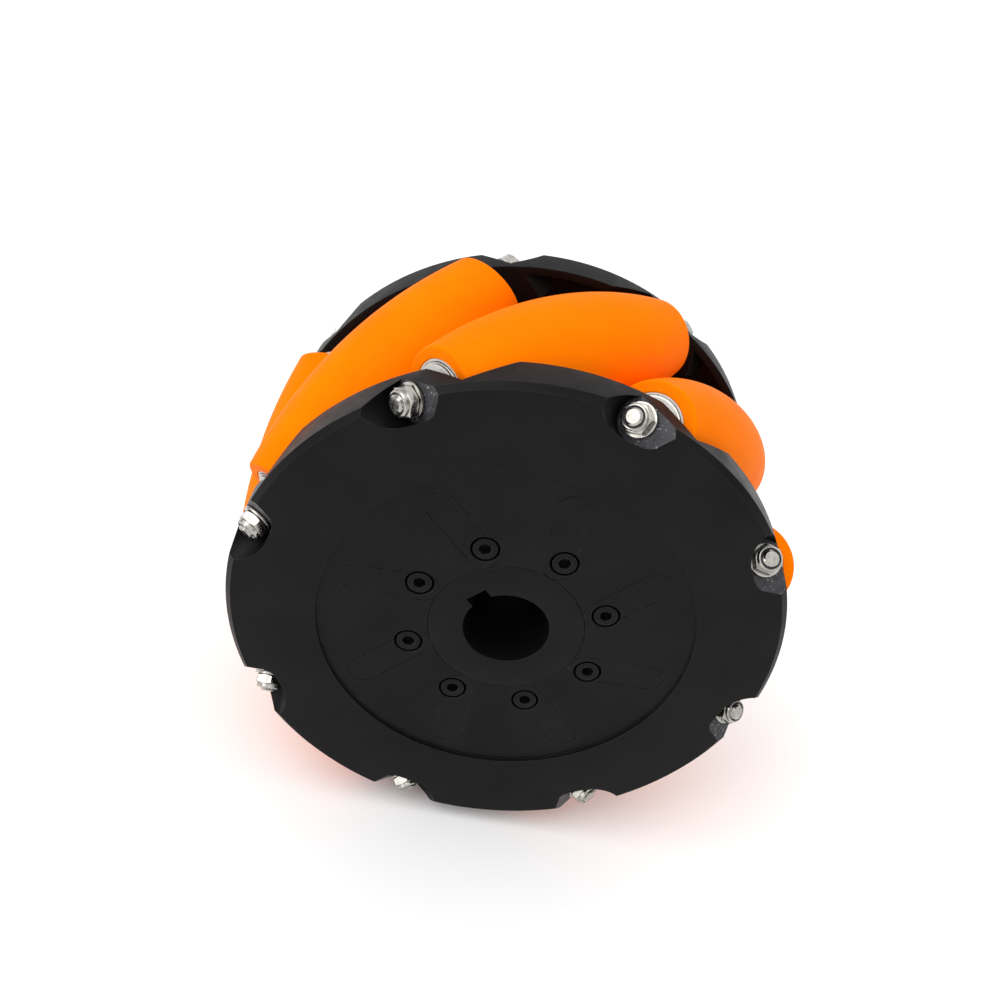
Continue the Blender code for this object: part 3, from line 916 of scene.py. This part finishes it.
def worn_and_highlit_edges(tree, radius, low, high):
    """A mask of the piece's sharp edges, broken up by noise, for paler edges that are partly wear and partly
    painted highlight.
    """
    bevel = tree.nodes.new("ShaderNodeBevel")
    bevel.samples = 4
    bevel.inputs["Radius"].default_value = radius
    geometry = tree.nodes.new("ShaderNodeNewGeometry")
    turned_by = tree.nodes.new("ShaderNodeVectorMath")
    turned_by.operation = "DOT_PRODUCT"
    tree.links.new(bevel.outputs["Normal"], turned_by.inputs[0])
    tree.links.new(geometry.outputs["Normal"], turned_by.inputs[1])
    edge = spread(tree, turned_by.outputs["Value"], 1.0, 0.0, 0.85, 1.0)
    return product(tree, edge, spread(tree, noise(tree, 0.004), low, high))


def anodised_material():
    """Black anodised aluminium: fine blasted grain, faint lathe marks and paler edges, partly wear and partly
    painted highlight.
    """
    material, tree, shader = new_material(ANODISED)
    patches = spread(tree, noise(tree, 0.02), 0, 1)
    cloud = between(tree, patches, (0.0025, 0.0025, 0.0027), (0.0045, 0.0045, 0.0048))
    # Paler edges: partly wear, partly a painted highlight where the chamfers catch the light.
    wear_and_highlight = worn_and_highlit_edges(tree, 0.00025, 0.1, 0.8)
    tree.links.new(between(tree, wear_and_highlight, cloud, (0.055, 0.055, 0.057)), shader.inputs["Base Color"])
    shader.inputs["Metallic"].default_value = 0.0
    shader.inputs["Specular IOR Level"].default_value = 0.11
    tree.links.new(spread(tree, noise(tree, 0.006), 0.36, 0.46), shader.inputs["Roughness"])
    bumped(
        tree,
        shader,
        (rings(tree, 0.0006), 0.0000012),
        (noise(tree, 0.00035, 2.0), 0.000012),
    )
    return material


def pocket_material():
    """The rougher milled floor of a nut pocket, with bright flecks where the cutter broke the black."""
    material, tree, shader = new_material("milled_pocket")
    grey = between(tree, spread(tree, noise(tree, 0.003), 0, 1), (0.014, 0.014, 0.016), (0.04, 0.04, 0.046))
    flecks = spread(tree, noise(tree, 0.0008, 4.0), 0.0, 1.0, 0.62, 0.7)
    tree.links.new(between(tree, flecks, grey, (0.3, 0.3, 0.32)), shader.inputs["Base Color"])
    shader.inputs["Metallic"].default_value = 0.25
    tree.links.new(spread(tree, noise(tree, 0.0015), 0.35, 0.6), shader.inputs["Roughness"])
    bumped(tree, shader, (noise(tree, 0.0012, 5.0), 0.0003))
    return material


def polyurethane_material():
    """Cast orange polyurethane: dull satin, with soft clouding and a few fine scuffs."""
    material, tree, shader = new_material(POLYURETHANE)
    cloud = between(tree, spread(tree, noise(tree, 0.018), 0, 1), (0.93, 0.174, 0.0), (0.95, 0.194, 0.0))
    scuffs = spread(tree, noise(tree, 0.0012, 4.0), 0.0, 0.22, 0.62, 0.72)
    patches = spread(tree, noise(tree, 0.012), 0.0, 1.0, 0.5, 0.65)
    worn = product(tree, scuffs, patches)
    tree.links.new(between(tree, worn, cloud, (0.95, 0.34, 0.08)), shader.inputs["Base Color"])
    tree.links.new(spread(tree, noise(tree, 0.004), 0.4, 0.5), shader.inputs["Roughness"])
    shader.inputs["Specular IOR Level"].default_value = 0.01
    bumped(
        tree,
        shader,
        (noise(tree, 0.006), 0.00003),
        (noise(tree, 0.0005, 2.0), 0.000012),
    )
    return material


def steel_material():
    """Bright stainless steel, slightly warm, with a handled, uneven polish."""
    material, tree, shader = new_material(STEEL)
    tone = between(tree, spread(tree, noise(tree, 0.002), 0, 1), (0.3, 0.29, 0.265), (0.5, 0.485, 0.45))
    tree.links.new(tone, shader.inputs["Base Color"])
    shader.inputs["Metallic"].default_value = 1.0
    tree.links.new(spread(tree, noise(tree, 0.001, 4.0), 0.16, 0.32), shader.inputs["Roughness"])
    bumped(tree, shader, (noise(tree, 0.0008, 4.0), 0.000012))
    return material


def oxide_material():
    """Black oxide on the hub screws, slightly oily, with a blue cast."""
    material, tree, shader = new_material(OXIDE)
    patches = spread(tree, noise(tree, 0.0015), 0, 1)
    tone = between(tree, patches, (0.003, 0.003, 0.0035), (0.006, 0.006, 0.007))
    # Paler edges: partly wear, partly a painted highlight on the rim of each head.
    wear_and_highlight = worn_and_highlit_edges(tree, 0.0002, 0.2, 1.0)
    tree.links.new(between(tree, wear_and_highlight, tone, (0.09, 0.09, 0.095)), shader.inputs["Base Color"])
    shader.inputs["Specular IOR Level"].default_value = 0.1
    tree.links.new(spread(tree, noise(tree, 0.001), 0.32, 0.48), shader.inputs["Roughness"])
    bumped(tree, shader, (noise(tree, 0.0005, 3.0), 0.00002))
    return material


def nylon_material():
    """Off-white nylon of the collars and cores, a little dirty in patches."""
    material, tree, shader = new_material(NYLON)
    tone = between(tree, spread(tree, noise(tree, 0.005), 0, 1), (0.48, 0.47, 0.44), (0.62, 0.61, 0.58))
    tree.links.new(tone, shader.inputs["Base Color"])
    tree.links.new(spread(tree, noise(tree, 0.002), 0.38, 0.52), shader.inputs["Roughness"])
    bumped(tree, shader, (noise(tree, 0.0006, 2.0), 0.00001))
    return material


def painted_shade_insert_material():
    """The lock nut's ring, painted dark as the shade in the gap round the stud."""
    material, tree, shader = new_material("lock_ring_painted_shade")
    # Painted shade: the dark tone stands for the shade in the gap round the stud.
    tone = between(tree, spread(tree, noise(tree, 0.001), 0, 1), (0.012, 0.012, 0.016), (0.03, 0.03, 0.038))
    tree.links.new(tone, shader.inputs["Base Color"])
    tree.links.new(spread(tree, noise(tree, 0.0006), 0.35, 0.5), shader.inputs["Roughness"])
    bumped(tree, shader, (noise(tree, 0.0004), 0.00001))
    return material


def floor_material():
    material, tree, shader = new_material("studio_floor")
    tone = between(tree, spread(tree, noise(tree, 0.3), 0, 1), (0.93, 0.93, 0.93), (0.95, 0.95, 0.95))
    tree.links.new(tone, shader.inputs["Base Color"])
    shader.inputs["Roughness"].default_value = 0.7
    shader.inputs["Specular IOR Level"].default_value = 0.2
    return material


# ---------------------------------------------------------------- the wheel

def add_plates_and_hub(anodised, milled):
    mesh = plate_mesh()
    for name, node, matrix in (
        ("side_plate_outer", "outer_plate", Matrix()),
        ("side_plate_inner", "inner_plate", HALF_TURN),
    ):
        plate = piece(name, mesh, [anodised, milled], FRAME_BODY, matrix, [node])
        if matrix == Matrix():
            marked_floors(plate.data)
    piece("keyed_hub", hub_mesh(), anodised, FRAME_BODY, None, ["hub"])


def add_hub_screws(oxide):
    mesh = screw_mesh()
    for index in range(SCREW_COUNT):
        for side, flip in (("outer", Matrix()), ("inner", HALF_TURN)):
            turn = Matrix.Rotation(index * FASTENER_TURN, 4, "Z")
            node = f"hub_screw_{side}_{index + 1}"
            matrix = flip @ screw_frame(index) @ turn
            piece(f"cap_screw_{side}_{index + 1}", mesh, oxide, FRAME_BODY, matrix, [node])


def add_bearings(number, body, roller, meshes, steel, nylon):
    """A bearing and a thrust collar at each end of a roller. The outer races turn with the roller."""
    for side, matrix in (("inner", roller), ("outer", roller @ OTHER_END)):
        node = f"bearing_{side}_{number}"
        place = f"{side}_{number}"
        piece(f"outer_race_{place}", meshes["outer_race"], steel, body, matrix)
        piece(f"inner_race_{place}", meshes["inner_race"], steel, FRAME_BODY, matrix)
        piece(f"bearing_shield_{place}", meshes["shield"], steel, FRAME_BODY, matrix)
        piece(f"thrust_collar_{place}", meshes["collar"], nylon, FRAME_BODY, matrix, [node])


def add_rollers(polyurethane, steel, nylon, insert):
    meshes = {
        "tread": tread_mesh(),
        "core": core_mesh(),
        "outer_race": race_mesh("outer_race", OUTER_RACE_RADIUS, BEARING_RADIUS),
        "inner_race": race_mesh("inner_race", SHAFT_FIT_RADIUS, INNER_RACE_RADIUS),
        "shield": shield_mesh(),
        "collar": collar_mesh(),
        "bolt": bolt_mesh(),
        "head_washer": washer_mesh(INNER_SIDE),
        "nut_washer": washer_mesh(OUTER_SIDE),
        "nut": nut_mesh(),
        "insert": insert_mesh(),
    }
    fixed = FRAME_BODY
    for index, joint in enumerate(ROLLERS):
        number = index + 1
        body = joint["child"]
        roller = roller_frame(joint)
        turned_by = roller @ Matrix.Rotation(index * FASTENER_TURN, 4, "Z")
        piece(f"tread_{number}", meshes["tread"], polyurethane, body, roller, [body], own=True)
        piece(f"core_{number}", meshes["core"], nylon, body, roller)
        add_bearings(number, body, roller, meshes, steel, nylon)
        bolt_node, nut_node = f"axle_bolt_{number}", f"lock_nut_{number}"
        piece(f"hex_bolt_{number}", meshes["bolt"], steel, fixed, turned_by, [bolt_node], own=True)
        piece(f"head_washer_{number}", meshes["head_washer"], steel, fixed, roller)
        piece(f"nut_washer_{number}", meshes["nut_washer"], steel, fixed, roller)
        piece(f"locking_nut_{number}", meshes["nut"], steel, fixed, turned_by, [nut_node], own=True)
        piece(f"locking_ring_{number}", meshes["insert"], insert, fixed, roller)


# ---------------------------------------------------------------- camera, floor and light

def aimed(place, target, roll=0.0):
    """A camera's or light's matrix at a place, looking at a target."""
    forward = (target - place).normalized()
    right = forward.cross(Vector((0, 0, 1))).normalized()
    turn = Matrix((right, right.cross(forward), -forward)).transposed().to_4x4()
    return Matrix.Translation(place) @ turn @ Matrix.Rotation(roll, 4, "Z")


def add_camera():
    data = bpy.data.cameras.new("camera")
    data.sensor_width = SENSOR_WIDTH
    data.lens = CAMERA_LENS
    data.shift_x, data.shift_y = CAMERA_SHIFT
    data.clip_start = CLIP_START
    camera = bpy.data.objects.new("camera", data)
    bpy.context.scene.collection.objects.link(camera)
    camera.matrix_world = aimed(CAMERA_PLACE, CAMERA_TARGET, CAMERA_ROLL)
    bpy.context.scene.camera = camera


def add_light(name, place, size, power, target=Vector((0, 0, 0))):
    data = bpy.data.lights.new(name, "AREA")
    data.shape = "RECTANGLE"
    data.size, data.size_y = size
    data.energy = power
    light = bpy.data.objects.new(name, data)
    bpy.context.scene.collection.objects.link(light)
    light.matrix_world = aimed(Vector(place), target)


def add_floor():
    built = bmesh.new()
    bmesh.ops.create_grid(built, x_segments=1, y_segments=1, size=FLOOR_SIZE / 2)
    mesh = finished_mesh("floor", built)
    mesh.materials.append(floor_material())
    floor = bpy.data.objects.new("floor", mesh)
    floor.location.z = CAD_BOX[0].z - FLOOR_GAP
    bpy.context.scene.collection.objects.link(floor)


def add_studio():
    add_floor()
    world = bpy.data.worlds.new("studio")
    world.use_nodes = True
    tree = world.node_tree
    coordinates = tree.nodes.new("ShaderNodeTexCoord")
    split = tree.nodes.new("ShaderNodeSeparateXYZ")
    tree.links.new(coordinates.outputs["Generated"], split.inputs["Vector"])
    strength = tree.nodes.new("ShaderNodeMath")
    strength.operation = "MAXIMUM"
    for k in range(2):
        band = spread(tree, split.outputs["Z"], *SKY_STRENGTHS[k:k + 2], *SKY_HEIGHTS[k:k + 2])
        tree.links.new(band, strength.inputs[k])
    sky = tree.nodes["Background"]
    sky.inputs["Color"].default_value = (1, 1, 1, 1)
    tree.links.new(strength.outputs[0], sky.inputs["Strength"])
    bpy.context.scene.world = world
    for name, place, size, power in LIGHTS:
        add_light(name, place, size, power)
    bpy.context.scene.view_settings.view_transform = "Standard"


def main():
    add_camera()
    add_studio()
    steel = steel_material()
    nylon = nylon_material()
    add_plates_and_hub(anodised_material(), pocket_material())
    add_hub_screws(oxide_material())
    add_rollers(polyurethane_material(), steel, nylon, painted_shade_insert_material())


main()
